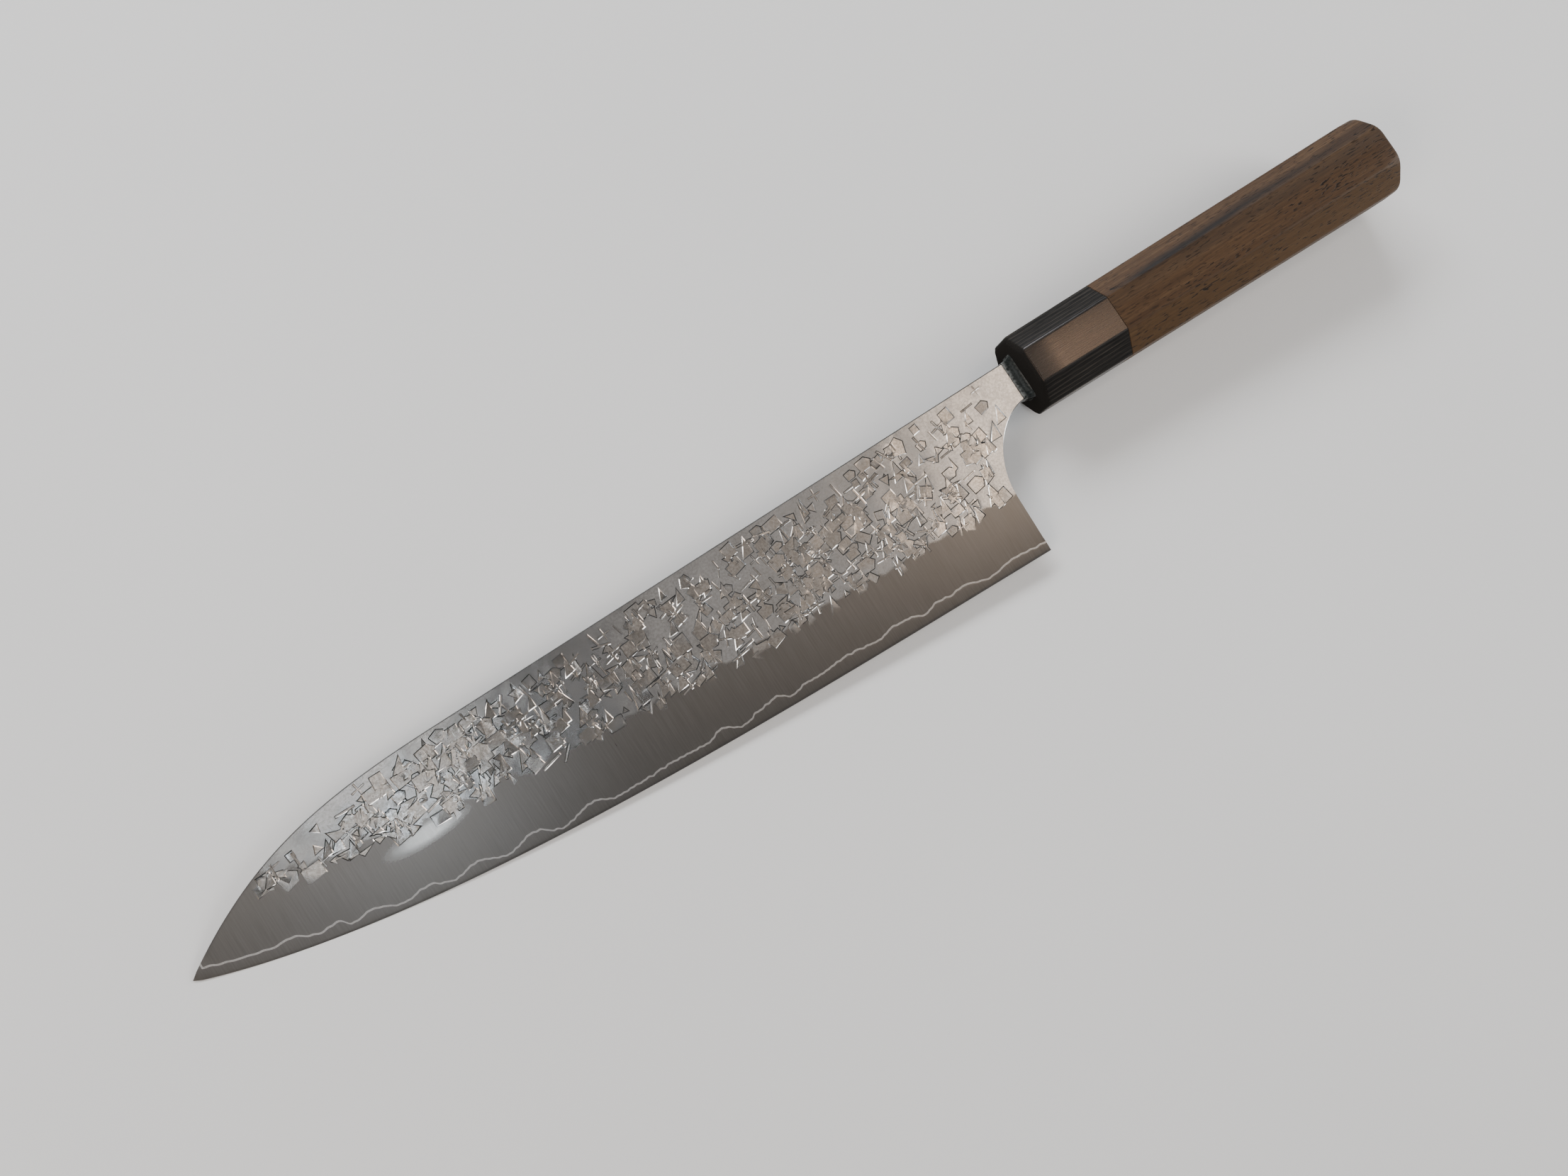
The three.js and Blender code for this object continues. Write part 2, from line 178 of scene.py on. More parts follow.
def dapple(x, y, seed, pitch):
    """A smooth random surface through about -1 to 1, whose bumps are about a pitch apart."""
    count = 14
    chance = np.random.default_rng(seed)
    total = np.zeros_like(x)
    for _ in range(count):
        angle = chance.uniform(0, np.pi)
        length = pitch * chance.uniform(0.7, 1.6)
        along = x * math.cos(angle) + y * math.sin(angle)
        total += np.sin(2 * np.pi * (along / length + chance.uniform()))
    return total / math.sqrt(count)


# Height and pitch of the unevenness that forging and grinding leave.
FORGED_SWELL = (0.02, 9)
FORGED_RIPPLE = (0.005, 3)
GROUND_SWELL = (0.003, 24)


def unevenness(x, y, seed, height_and_pitch):
    height, pitch = height_and_pitch
    return height * dapple(x, y, seed, pitch)


# ---------------------------------------------------------------- thickness of the blade

def spine_half(x):
    towards_neck = np.clip((x - HEEL[0]) / -HEEL[0], 0, 1)
    towards_tip = np.clip((HEEL[0] - x) / (HEEL[0] - TIP[0]), 0, 1)
    neck = HEEL_SPINE_HALF + (NECK_HALF - HEEL_SPINE_HALF) * towards_neck
    tip = HEEL_SPINE_HALF + (TIP_SPINE_HALF - HEEL_SPINE_HALF) * towards_tip
    return np.where(x > HEEL[0], neck, tip)


def flat_half(x, y):
    """Half the thickness of the unground blank, which thins from the spine downwards."""
    top = spine_half(x)
    drop = spine_height(x) - y
    flat = np.maximum(spine_height(x) - edge_height(x) - BEVEL_WIDTH, 6)
    return top * (1 - (1 - BEVEL_TOP_RATIO) * drop / flat)


def ground_half(x, y):
    """Half the thickness that the grinding of the bevel leaves."""
    above = np.maximum(y - edge_height(x), 0)
    at_top = spine_half(x) * BEVEL_TOP_RATIO
    convex = EDGE_HALF + (at_top - EDGE_HALF) * (above / BEVEL_WIDTH) ** BEVEL_POWER
    honed = HONED_HALF + (above / MICRO_BEVEL) * HONED_RISE
    return np.minimum(convex, honed)


# ---------------------------------------------------------------- hammered marks

# The pattern on the hammer's face, as convex outlines that are struck one or two at a time.
WEDGE = [(-1.9, -2.4), (1.7, -2.4), (1.7, 2.5)]
TALL_WEDGE = [(-1.3, -3.0), (1.2, -2.6), (1.4, 3.0)]
SLAB = [(-2.5, -1.8), (2.5, -1.8), (2.5, 1.8), (-2.5, 1.8)]
TILE = [(-1.8, -1.9), (1.7, -1.9), (1.9, 1.8), (-1.6, 1.8)]
BEAK = [(-1.5, 1.3), (0.1, -1.6), (1.6, 1.2)]
ARROW = [(-2.2, -1.6), (1.2, -1.7), (2.7, 0.2), (1.2, 2.0), (-2.2, 1.9)]
BAR = [(-2.6, -0.4), (2.6, -0.35), (2.6, 0.4), (-2.6, 0.35)]
POST = [(-0.35, -2.4), (0.4, -2.4), (0.35, 2.4), (-0.4, 2.4)]
BLOWS = 940
DIES = [[WEDGE], [WEDGE], [TALL_WEDGE], [SLAB], [TILE], [BEAK], [ARROW], [BAR], [BAR, POST], [POST]]
DIE_TILT = math.radians(9)
TILT_SPREAD = math.radians(6)
TURNED_SHARE = 0.2
TURNED_BY = (30, 90)
BLOW_SIZES = (0.6, 1.15)
BLOW_DEPTHS = (0.05, 0.14)
FLOOR_SLOPE = 0.022
BELOW_BEVEL_TOP = 1.6
BELOW_SPINE = 0.6
DIE_REACH = 2.2
PIT_WALL = 0.26
DEEP_MARK = 0.12
LEAST_DEPTH = 0.04
MARK_REACH = 5
SPINE_MARGIN = 0.5
CHOIL_MARGIN = 0.6
END_MARGIN = 0.5
BARE_NECK = -5
GROUND_AWAY = 5

# What share of the blows land, from near the tip to the neck.
CROWDING = [(-236, 0.25), (-215, 0.5), (-185, 1), (-30, 1), (-20, 0.45), (-8, 0.06)]


def turned_outline(outline, at, angle, size):
    """An outline of the die where it struck, with the unit vector along each of its sides."""
    turn = np.array([[math.cos(angle), math.sin(angle)], [-math.sin(angle), math.cos(angle)]])
    corners = np.array(at) + size * np.array(outline) @ turn
    sides = np.roll(corners, -1, 0) - corners
    return corners, sides / np.linalg.norm(sides, axis=1)[:, None]


def distance_inside(x, y, corners, along):
    """How far points lie inside a convex outline."""
    inside = np.full(np.shape(x), 99.0)
    for (start_x, start_y), (u, v) in zip(corners, along):
        inside = np.minimum(inside, u * (y - start_y) - v * (x - start_x))
    return inside


class Mark:
    """One dent: a convex rim, a wall that leans inwards and a floor that is nearly level."""

    def __init__(self, corners, along, deep, slope):
        self.corners = corners
        self.along = along
        self.middle = corners.mean(0)
        self.deep = deep
        self.slope = slope
        self.wall = min(PIT_WALL, 0.5 * float(distance_inside(*self.middle, corners, along)))

    def depth(self, x, y):
        wall = np.clip(distance_inside(x, y, self.corners, self.along) / self.wall, 0, 1)
        offset = self.slope[0] * (x - self.middle[0]) + self.slope[1] * (y - self.middle[1])
        return np.maximum(self.deep + offset, LEAST_DEPTH) * wall

    def floor_corners(self):
        inwards = np.column_stack([-self.along[:, 1], self.along[:, 0]])
        both = inwards + np.roll(inwards, 1, 0)
        share = 1 + (inwards * np.roll(inwards, 1, 0)).sum(1)
        return self.corners + self.wall * both / share[:, None]


def on_the_face(corners):
    """Whether an outline keeps clear of the spine, the choil and the bevel's lower part."""
    x, y = corners.T
    if (spine_height(x) - y).min() < SPINE_MARGIN:
        return False
    if (y - edge_height(x)).min() < BEVEL_WIDTH - GROUND_AWAY:
        return False
    from_choil = np.linalg.norm(corners[:, None] - choil_line[None], axis=2).min()
    blade_end = np.interp(y, choil_line[::-1, 1], choil_line[::-1, 0])
    clear_of_end = (blade_end - x).min() > END_MARGIN
    return from_choil > CHOIL_MARGIN and clear_of_end and x.max() < BARE_NECK


def struck_marks(seed):
    """The dents on one face: crowded from the heel to past the middle, few at both ends."""
    chance = np.random.default_rng(seed)
    places, crowding = zip(*CROWDING)
    marks = []
    for _ in range(BLOWS):
        x = chance.uniform(places[0], places[-1])
        top = float(spine_height(x))
        bottom = float(edge_height(x)) + BEVEL_WIDTH - BELOW_BEVEL_TOP
        if chance.uniform() > np.interp(x, places, crowding):
            continue
        angle = DIE_TILT + chance.normal(0, TILT_SPREAD)
        if chance.uniform() < TURNED_SHARE:
            angle += chance.choice([-1, 1]) * math.radians(chance.uniform(*TURNED_BY))
        size = chance.uniform(*BLOW_SIZES)
        y = chance.uniform(bottom, max(top - BELOW_SPINE - DIE_REACH * size, bottom))
        deep = chance.uniform(*BLOW_DEPTHS)
        slope = chance.normal(0, FLOOR_SLOPE, 2)
        for outline in DIES[chance.integers(len(DIES))]:
            corners, along = turned_outline(outline, (x, y), angle, size)
            if on_the_face(corners):
                marks.append(Mark(corners, along, deep, slope))
    return marks


def pit_depths(x, y, marks):
    """How deep the marks are at each point, as the deepest of those that reach it."""
    depth = np.zeros_like(x)
    for mark in marks:
        near = np.abs(x - mark.middle[0]) < MARK_REACH
        near &= np.abs(y - mark.middle[1]) < MARK_REACH
        depth[near] = np.maximum(depth[near], mark.depth(x[near], y[near]))
    return depth


# ---------------------------------------------------------------- lines across the blade

def blade_lines():
    """The upper and lower ends of the lines that the blade is drawn through, neck first."""
    steps = np.linspace(0, 1, LINES_ON_CHOIL + 1)
    tops = [CHOIL_START + (FAN_TOP_AT_CHOIL - CHOIL_START) * steps]
    bottoms = [choil_line]
    steps = np.linspace(0, 1, LINES_ON_HEEL + 1)[1:]
    tops.append(FAN_TOP_AT_CHOIL + (FAN_TOP_AT_HEEL - FAN_TOP_AT_CHOIL) * steps)
    heights = CHOIL_DEPTH + (HEEL[1] - CHOIL_DEPTH) * steps
    bottoms.append(np.column_stack([np.full_like(steps, HEEL[0]), heights]))
    steps = np.linspace(0, 1, round((HEEL[0] - FAN_END) / STEP_ALONG) + 1)[1:]
    tops.append(FAN_TOP_AT_HEEL + (FAN_END - FAN_TOP_AT_HEEL) * steps)
    feet = HEEL[0] + (FAN_END - HEEL[0]) * steps
    bottoms.append(np.column_stack([feet, edge_height(feet)]))
    steps = np.linspace(0, 1, round((FAN_END - LAYERS_END) / STEP_ALONG) + 1)[1:]
    feet = FAN_END + (LAYERS_END - FAN_END) * steps
    tops.append(feet)
    bottoms.append(np.column_stack([feet, edge_height(feet)]))
    top_x = np.concatenate(tops)
    return np.column_stack([top_x, spine_height(top_x)]), np.concatenate(bottoms)


TOPS, BOTTOMS = blade_lines()
LENGTHS = np.linalg.norm(BOTTOMS - TOPS, axis=1)
ON_CHOIL = np.arange(len(TOPS)) <= LINES_ON_CHOIL + LINES_ON_HEEL

# Crests and troughs of the wandering border between core and cladding, as heights above the edge.
BORDER = [
    (-21, 2.4), (-31, 3.0), (-39.8, 1.9), (-48.2, 3.7), (-52, 3.2), (-56.5, 3.6), (-61.2, 2.4),
    (-65.1, 3.7), (-70.8, 4.0), (-75.2, 2.9), (-85, 3.7), (-95, 2.9), (-98.5, 3.0), (-103, 2.0),
    (-107, 3.8), (-112, 3.0), (-118, 1.6), (-123.6, 3.7), (-128, 2.2), (-138, 2.4), (-148, 1.8),
    (-154.5, 1.5), (-160, 3.2), (-169.7, 1.0), (-176, 3.3), (-184, 1.2), (-191, 2.9), (-197.7, 1.3),
    (-203.5, 2.7), (-210.2, 1.3), (-217, 2.8), (-222.4, 1.5), (-224.7, 3.1), (-230, 2.1),
    (-235.7, 3.4), (-240, 2.5), (-249, 2.4), (-257, 2.6),
]


def border_height(x):
    """The border's height above the edge, turning smoothly at each crest and trough."""
    turns = np.array(BORDER)[::-1]
    at = np.clip(np.searchsorted(turns[:, 0], x), 1, len(turns) - 1)
    along = np.clip((x - turns[at - 1, 0]) / (turns[at, 0] - turns[at - 1, 0]), 0, 1)
    smooth = (1 - np.cos(np.pi * along)) / 2
    return turns[at - 1, 1] + (turns[at, 1] - turns[at - 1, 1]) * smooth + 0.12 * waves(x, 5, 2.4)


def core_half():
    """Half the core's thickness at each line."""
    x = np.minimum(BOTTOMS[:, 0], HEEL[0])
    return ground_half(x, edge_height(x) + border_height(x))


def drawn_thin():
    """How much of its thickness at the heel a layer keeps at each line."""
    return spine_half(np.minimum(BOTTOMS[:, 0], HEEL[0])) / HEEL_SPINE_HALF


def along_lines(fractions):
    """Points on the first lines, as arrays of X and Y with one row of points for each line."""
    lines = len(fractions)
    across = (BOTTOMS - TOPS)[:lines, None]
    points = TOPS[:lines, None] + across * fractions[..., None]
    return points[..., 0], points[..., 1]


def blank_half(x, y):
    return np.minimum(flat_half(x, y), ground_half(x, y))


def depth_of_thickness(half):
    """How far down each line, as a fraction, the blade is still twice the given thickness."""
    above = np.zeros(len(TOPS))
    below = np.ones(len(TOPS))
    for _ in range(30):
        middle = (above + below) / 2
        x, y = along_lines(middle[:, None])
        thick = blank_half(x, y)[:, 0] > half
        above = np.where(thick, middle, above)
        below = np.where(thick, below, middle)
    return above


def last_line(share):
    """How many lines a layer reaches, given the share of each that it covers."""
    return int(np.argmax((LENGTHS * share < LEAST_LAYER) & ~ON_CHOIL)) or len(LENGTHS)


# ---------------------------------------------------------------- making pieces

def octagon_corners(x, inset):
    along = x / HANDLE_LENGTH
    height, thickness, side_face, back_face = (
        (front + (butt - front) * along) / 2 for front, butt in zip(FRONT_OCTAGON, BUTT_OCTAGON)
    )
    quarter = [(side_face, thickness), (height, back_face)]
    upper = quarter + [(y, -z) for y, z in reversed(quarter)]
    ring = upper + [(-y, -z) for y, z in upper]
    return [(y * (1 - inset / height), z * (1 - inset / thickness)) for y, z in ring]


def knife_to_row():
    """The matrix from the knife's frame to the row's, with its shift read off the ferrule."""
    turn = Matrix.Rotation(REST_PITCH, 4, "Y") @ Matrix.Rotation(REST_ROLL, 4, "X")
    rings = [(0, FERRULE_CHAMFER), (FERRULE_CHAMFER, 0), (FERRULE_LENGTH, 0)]
    corners = [(x, y, z) for x, inset in rings for y, z in octagon_corners(x, inset)]
    turned = [turn @ Vector(corner) / 1000 for corner in corners]
    lowest = Vector([min(point[axis] for point in turned) for axis in range(3)])
    return Matrix.Translation(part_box("ferrule")[0] - lowest) @ turn


KNIFE_TO_ROW = knife_to_row()


def piece(name, points, faces, node, material, sharp_angle=PLAIN_SHARPNESS):
    mesh = bpy.data.meshes.new(name)
    mesh.from_pydata((np.asarray(points, float) / 1000).tolist(), [], faces)
    mesh.transform(KNIFE_TO_ROW)
    mesh.polygons.foreach_set("use_smooth", [True] * len(mesh.polygons))
    mesh.set_sharp_from_angle(angle=math.radians(sharp_angle))
    mesh.materials.append(material)
    made = bpy.data.objects.new(name, mesh)
    bpy.context.scene.collection.objects.link(made)
    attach(made, "root")
    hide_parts(node)
    return made


def loft_faces(count, size, closed=False):
    """Faces between rings of equal size: the ends are capped, or the last ring meets the first."""
    faces = []
    for i in range(count if closed else count - 1):
        after = (i + 1) % count
        for j in range(size):
            k = (j + 1) % size
            faces.append((i * size + j, i * size + k, after * size + k, after * size + j))
    if not closed:
        faces.append(tuple(reversed(range(size))))
        faces.append(tuple(range((count - 1) * size, count * size)))
    return faces


def facing_out(points, faces):
    """The faces, turned over if they enclose their space inside out."""
    at = np.asarray(points, float)
    volume = 0
    for face in faces:
        for j in range(1, len(face) - 1):
            a, b, c = at[face[0]], at[face[j]], at[face[j + 1]]
            volume += a[0] * (b[1] * c[2] - b[2] * c[1]) - a[1] * (b[0] * c[2] - b[2] * c[0])
            volume += a[2] * (b[0] * c[1] - b[1] * c[0])
    if volume < 0:
        return [tuple(reversed(face)) for face in faces]
    return faces


def tang_rings(rows, z):
    """Rings of a layer's hidden part. Rows says how far down each point is, z where it lies."""
    rings = []
    for x in (TANG_END, TANG_END / 2, TANG_SHOULDER):
        along = (x - TANG_SHOULDER) / (TANG_END - TANG_SHOULDER)
        half = TANG_FRONT_HALF_HEIGHT + (TANG_END_HALF_HEIGHT - TANG_FRONT_HALF_HEIGHT) * along
        thick = NECK_HALF + (TANG_END_HALF - NECK_HALF) * along
        rings.append(np.column_stack([np.full_like(rows, x), half - 2 * half * rows, z(thick)]))
    for x in (MOUTH_DEPTH - 1, 0):
        top = SPINE_AT_FERRULE + SPINE_SLOPE * x
        y = top + (NECK_BOTTOM - top) * rows
        rings.append(np.column_stack([np.full_like(rows, x), y, z(NECK_HALF)]))
    return rings


# ---------------------------------------------------------------- blade pieces

def rounded(half, distance, floor):
    """A face's height with its border rounded off, given the distance from the border."""
    inside = np.clip(1 - distance / EDGE_ROUNDING, 0, 1)
    return np.maximum(half - EDGE_ROUNDING * (1 - np.sqrt(1 - inside**2)), floor)


def face_mesh(outline, marks):
    """Triangles over a cladding's face that follow the rim and the floor of every mark."""
    points = [tuple(point) for point in outline]
    edges = []
    for mark in marks:
        for corners in (mark.corners, mark.floor_corners()):
            first = len(points)
            count = len(corners)
            points += [tuple(corner) for corner in corners]
            edges += [(first + i, first + (i + 1) % count) for i in range(count)]
    for low, high, spacing in BANDS:
        columns = np.arange(TIP[0] + 3, -4, spacing)
        for i, x in enumerate(columns):
            bottom = edge_height(x) + BEVEL_WIDTH + low
            top = min(edge_height(x) + BEVEL_WIDTH + high, spine_height(x) - BELOW_SPINE)
            shift = spacing / 2 if i % 2 else 0
            points += [(x, y) for y in np.arange(bottom + shift, top, spacing)]
    vectors = [Vector(point) for point in points]
    boundary = [list(range(len(outline)))]
    made = delaunay_2d_cdt(vectors, edges, boundary, 1, SAME_POINT, True)
    found, _, faces, sources, _, owners = made
    faces = [face for face, owner in zip(faces, owners) if owner]
    used = sorted({corner for face in faces for corner in face})
    place = {corner: i for i, corner in enumerate(used)}
    faces = [[place[corner] for corner in face] for face in faces]
    on_outline = {}
    for i, corner in enumerate(used):
        for source in sources[corner]:
            if source < len(outline):
                on_outline[source] = i
    return np.array([tuple(found[corner]) for corner in used]), faces, on_outline


def cladding_heights(x, y, seed, marks):
    """The face's height, with how deep its marks are and whether the bevel's grinding took it."""
    swell = unevenness(x, y, seed + 2, FORGED_SWELL)
    ripple = unevenness(x, y, seed + 3, FORGED_RIPPLE)
    depth = pit_depths(x, y, marks)
    blank = flat_half(x, y) + (swell + ripple) - depth
    bevel = ground_half(x, y) + unevenness(x, y, seed + 4, GROUND_SWELL)
    return np.minimum(blank, bevel), depth, np.clip((blank - bevel) / GROUND_BLEND + 0.5, 0, 1)


def cladding_rings(side, seed, marks):
    """Rings that run down the face's border, skip the face itself and return along the inside.

    The height of the inside at each line comes with them, and how deep the marks are and how far
    the bevel was ground at each point of the border.
    """
    inner = core_half() + (2 * LAYER_GAP + FOIL_THICKNESS) * drawn_thin()
    share = depth_of_thickness(inner + LEAST_THICKNESS)
    lines = last_line(share)
    inner, length = inner[:lines], (LENGTHS * share)[:lines]
    border = np.array(BORDER_ROWS)[None, :] * np.minimum(1, length / FULL_BORDER)[:, None]
    down = np.hstack([border, length[:, None] - border[:, ::-1]])
    from_choil = np.where(ON_CHOIL[:lines, None], length[:, None] - down, np.inf)
    x, y = along_lines(down / LENGTHS[:lines, None])
    floor = inner[:, None] + LEAST_THICKNESS
    surface, depth, ground = cladding_heights(x, y, seed, marks)
    surface = rounded(rounded(surface, down, floor), from_choil, floor)
    rings = np.stack([
        np.column_stack([x, x[:, -1], x[:, 0]]),
        np.column_stack([y, y[:, -1], y[:, 0]]),
        side * np.column_stack([surface, inner, inner]),
    ], -1)
    return rings, inner, depth, ground


def cladding_face(side, seed, marks, rings):
    """The face inside the border, which takes its outline and the heights along it from the rings.

    The points at its neck end come with it, and its marks and grinding as for the border.
    """
    upper = len(BORDER_ROWS) - 1
    lower = upper + 1
    steps = np.linspace(0, 1, END_ROWS + 2)[1:-1, None]
    neck_end = rings[0, upper, :2] + (rings[0, lower, :2] - rings[0, upper, :2]) * steps
    outline = np.concatenate([rings[:, upper, :2], rings[::-1, lower, :2], neck_end[::-1]])
    points, triangles, on_outline = face_mesh(outline, marks)
    surface, depth, ground = cladding_heights(*points.T, seed, marks)
    face = np.column_stack([points, side * surface])
    for i, z in enumerate(np.concatenate([rings[:, upper, 2], rings[::-1, lower, 2]])):
        face[on_outline[i], 2] = z
    neck_face = face[[on_outline[len(outline) - 1 - i] for i in range(END_ROWS)]]
    return face, triangles, neck_face, depth, ground


def cladding_tang(side, inner, neck_ring):
    """Rings of the hidden part, from the tang's end to the ring at the neck."""
    rows = len(neck_ring) - 2
    fractions = np.append(np.linspace(0, 1, rows), [1, 0])
    hidden = tang_rings(
        fractions,
        lambda thick: side * np.append(np.full(rows, thick), [inner, inner]),
    )
    return hidden + [neck_ring]


def border_faces(count, size, first, skipped):
    """Faces between rings of equal size, all round but for one gap that the face fills."""
    faces = []
    for i in range(count - 1):
        for j in range(size):
            if j != skipped:
                a = first + size * i + j
                b = first + size * i + (j + 1) % size
                faces.append((a, b, b + size, a + size))
    return faces


def cladding(side, seed, name, node, material):
    marks = struck_marks(seed)
    rings, inner, ring_depth, ring_ground = cladding_rings(side, seed, marks)
    face, triangles, neck_face, face_depth, face_ground = cladding_face(side, seed, marks, rings)
    count, size = rings.shape[:2]
    rows = len(BORDER_ROWS)
    neck_ring = np.concatenate([rings[0, :rows], neck_face, rings[0, rows:]])
    hidden = cladding_tang(side, inner[0], neck_ring)

    points = [np.concatenate(hidden), rings.reshape(-1, 3), face]
    _, first_ring, first_of_face = np.cumsum([0] + [len(part) for part in points[:2]])
    faces = [f for f in loft_faces(len(hidden), len(neck_ring)) if len(f) == 4 or min(f) == 0]
    faces += border_faces(count, size, first_ring, rows - 1)
    faces.append(tuple(range(first_of_face - size, first_of_face)))
    faces += [tuple(first_of_face + corner for corner in triangle) for triangle in triangles]
    made = piece(name, np.concatenate(points), faces, node, material)

    untouched = np.zeros(first_ring)
    marked = [untouched, np.pad(ring_depth, ((0, 0), (0, 2))).ravel(), face_depth]
    bevelled = [untouched, np.pad(ring_ground, ((0, 0), (0, 2))).ravel(), face_ground]
    for label, parts, whole in (("pit", marked, DEEP_MARK), ("ground", bevelled, 1)):
        attribute = made.data.attributes.new(label, "FLOAT", "POINT")
        values = np.concatenate(parts) / whole
        attribute.data.foreach_set("value", values.astype(np.float32))
    weld(made)
    return made


def weld(made):
    """Joins the patches of a piece along their shared borders and turns every face outwards."""
    mesh = bmesh.new()
    mesh.from_mesh(made.data)
    bmesh.ops.remove_doubles(mesh, verts=mesh.verts, dist=1e-6)
    bmesh.ops.recalc_face_normals(mesh, faces=mesh.faces)
    mesh.to_mesh(made.data)
    mesh.free()
    made.data.set_sharp_from_angle(angle=math.radians(DENT_SHARPNESS))


def foil(side, name, node, material):
    inner = core_half() + LAYER_GAP * drawn_thin()
    outer = inner + FOIL_THICKNESS * drawn_thin()
    last = depth_of_thickness(inner + LEAST_THICKNESS)
    full = np.minimum(depth_of_thickness(outer), last - 0.0005)
    lines = last_line(full)
    inner, outer, last, full = inner[:lines], outer[:lines], last[:lines], full[:lines]
    zero = np.zeros_like(full)
    x, y = along_lines(np.column_stack([zero, full, last, last, zero]))
    lowest = np.minimum(outer, blank_half(x, y)[:, 2])
    z = side * np.column_stack([outer, outer, lowest, inner, inner])
    rings = list(np.stack([x, y, z], -1))
    fractions = np.array([0, 1, 1, 1, 0])
    hidden = tang_rings(
        fractions,
        lambda thick: side * np.array([outer[0], outer[0], outer[0], inner[0], inner[0]]),
    )
    rings = hidden + rings
    points = np.concatenate(rings)
    faces = facing_out(points, loft_faces(len(rings), 5))
    return piece(name, points, faces, node, material)


def core(name, node, material):
    half = core_half()
    border = np.clip(depth_of_thickness(half), *CORE_SHOWN_FROM)[:, None]
    honed = np.maximum(1 - MICRO_BEVEL / LENGTHS[:, None], border + 0.001)
    below = np.linspace(0, 1, CORE_ROWS)[None, 1:]
    down = np.hstack([
        np.zeros((len(half), 1)),
        border,
        border + (honed - border) * below,
        np.ones((len(half), 1)),
    ])
    x, y = along_lines(down)
    z = np.minimum(half[:, None], blank_half(x, y))
    left = np.stack([x, y, z], -1)
    right = np.stack([x, y, -z], -1)[:, ::-1]
    rings = list(np.concatenate([left, right], 1))
    last = rings[-1]
    for share in TIP_STEPS:
        rings.append(last + (np.array(CORE_TIP) - last) * share)
    fractions = np.linspace(0, 1, down.shape[1])
    fractions = np.append(fractions, fractions[::-1])
    signs = np.sign(rings[0][:, 2])
    hidden = tang_rings(fractions, lambda thick: signs * half[0])
    rings = hidden + rings
    points = np.concatenate(rings)
    faces = facing_out(points, loft_faces(len(rings), len(fractions)))
    return piece(name, points, faces, node, material, CORE_SHARPNESS)


# ---------------------------------------------------------------- handle pieces

CORNER_POINTS = 5
RING_SIZE = 8 * CORNER_POINTS


def octagon_ring(x, inset, radius=RIDGE_ROUNDING):
    """The handle's outline at X, with each ridge rounded off."""
    corners = np.array(octagon_corners(x, inset))
    ring = []
    for i, corner in enumerate(corners):
        before = corners[i - 1] - corner
        after = corners[(i + 1) % 8] - corner
        start = corner + before / np.linalg.norm(before) * radius
        end = corner + after / np.linalg.norm(after) * radius
        for t in np.linspace(0, 1, CORNER_POINTS):
            bend = (1 - t) ** 2 * start + 2 * t * (1 - t) * corner + t**2 * end
            ring.append((x, *bend))
    return np.array(ring)


def loop_inside(x, half_height, half_width, squareness, like):
    """A loop with as many points as the ring like, from round (1) to nearly square (0.1)."""
    angle = np.arctan2(like[:, 2], like[:, 1])
    across = np.sign(np.cos(angle)) * np.abs(np.cos(angle)) ** squareness
    out = np.sign(np.sin(angle)) * np.abs(np.sin(angle)) ** squareness
    return np.column_stack([np.full(len(like), x), half_height * across, half_width * out])


def ferrule(material):
    profile = [
        (0, FERRULE_CHAMFER + SOFTENED),
        (SOFTENED * 0.5, FERRULE_CHAMFER - SOFTENED * 0.3),
        (FERRULE_CHAMFER - SOFTENED, SOFTENED * 0.8),
        (FERRULE_CHAMFER + SOFTENED, 0),
        (FERRULE_LENGTH * 0.35, 0),
        (FERRULE_LENGTH * 0.7, 0),
        (FERRULE_LENGTH - EASED_EDGE, 0),
        (FERRULE_LENGTH, EASED_INSET),
    ]
    rings = [octagon_ring(x, inset) for x, inset in reversed(profile)]
    like = rings[-1]
    rings.append(loop_inside(0, MOUTH_HEIGHT / 2, MOUTH_WIDTH / 2, MOUTH_SQUARENESS, like))
    rings.append(loop_inside(MOUTH_DEPTH, MOUTH_HEIGHT / 2, MOUTH_WIDTH / 2, MOUTH_SQUARENESS, like))
    rings.append(loop_inside(MOUTH_DEPTH, BORE_RADIUS, BORE_RADIUS, 1, like))
    rings.append(loop_inside(FERRULE_LENGTH, BORE_RADIUS, BORE_RADIUS, 1, like))
    points = np.concatenate(rings)
    faces = facing_out(points, loft_faces(len(rings), RING_SIZE, closed=True))
    return piece(
        "ferrule_laminate", points, faces, "ferrule", material, HANDLE_SHARPNESS
    )


def butt_ring(inset, back):
    """A ring on the butt's low dome, or so far back from it."""
    ring = octagon_ring(HANDLE_LENGTH, inset, BUTT_RIDGE_ROUNDING * (1 - inset / 10))
    from_axis = np.hypot(ring[:, 1], ring[:, 2]) * 2 / BUTT_OCTAGON[0]
    ring[:, 0] -= BUTT_DOME * from_axis**2 + back
    return ring


